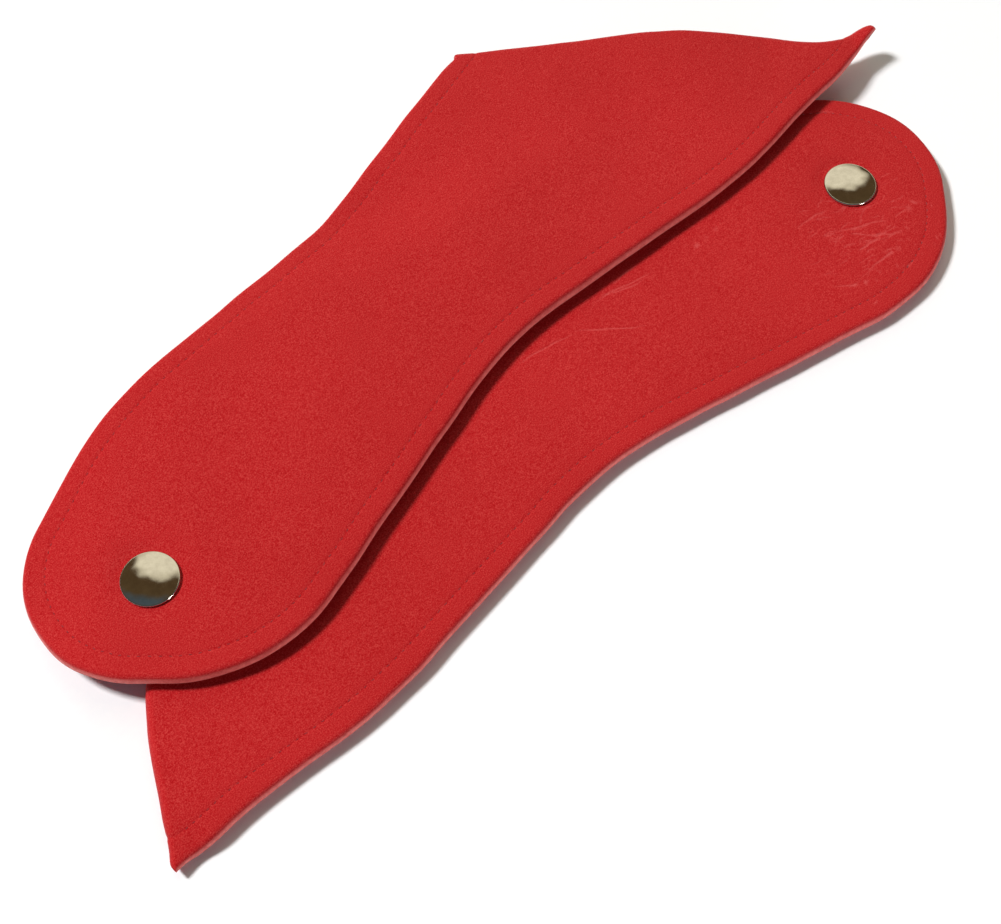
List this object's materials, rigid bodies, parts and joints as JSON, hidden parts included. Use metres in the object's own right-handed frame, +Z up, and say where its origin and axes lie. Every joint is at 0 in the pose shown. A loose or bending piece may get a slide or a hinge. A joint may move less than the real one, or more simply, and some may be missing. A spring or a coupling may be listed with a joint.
{
  "type": "groin protector",
  "caption": "Mirror-image pair of thin padded leather wraps, each folded in half at its wide end and closed by a press stud at its rounded end, one lying across the other.",
  "frame": {"origin": "under the centre of the pair's box, on the surface it lies on", "axes": "+X along the pair, towards the upper protector's fold and the lower one's rounded end; +Z up"},
  "size_m": [0.3034, 0.1468, 0.013],
  "materials": {
    "red_leather": "fine-grained coated leather, semi-matt",
    "foam": "soft cell foam",
    "lining": "plain woven backing",
    "thread": "twisted thread",
    "nickel": "polished nickel plate",
    "spring_wire": "drawn wire"
  },
  "bodies": {
    "lower_back": {"lower_back_cover": "red_leather", "lower_back_padding": "foam", "lower_back_lining": "lining", "lower_back_seam": "thread", "lower_snap_stud": "nickel", "lower_snap_post": "nickel"},
    "lower_front": {"lower_front_cover": "red_leather", "lower_front_padding": "foam", "lower_front_lining": "lining", "lower_front_seam": "thread", "lower_snap_cap": "nickel", "lower_snap_socket": "nickel", "lower_snap_spring": "spring_wire"},
    "upper_back": {"upper_back_cover": "red_leather", "upper_back_padding": "foam", "upper_back_lining": "lining", "upper_back_seam": "thread", "upper_snap_stud": "nickel", "upper_snap_post": "nickel"},
    "upper_front": {"upper_front_cover": "red_leather", "upper_front_padding": "foam", "upper_front_lining": "lining", "upper_front_seam": "thread", "upper_snap_cap": "nickel", "upper_snap_socket": "nickel", "upper_snap_spring": "spring_wire"}
  },
  "joints": [
    {"name": "upper_lift_off", "type": "slide", "parent": "lower_back", "child": "upper_back", "axis": [0, 0, 1], "range_m": [0, 0.65]},
    {"name": "upper_fold", "type": "hinge", "parent": "upper_back", "child": "upper_front", "pos_m": [0.15473, -0.00813, 0.00825], "axis": [-0.7547, 0.6561, 0], "range_deg": [0, 175]},
    {"name": "lower_fold", "type": "hinge", "parent": "lower_back", "child": "lower_front", "pos_m": [-0.15405, -0.05074, 0.00265], "axis": [-0.6691, -0.7431, 0], "range_deg": [0, 175]}
  ],
  "couplings": [
    {"joint": "lower_fold", "follows": "upper_lift_off", "rad_per_m": 4.69}
  ]
}
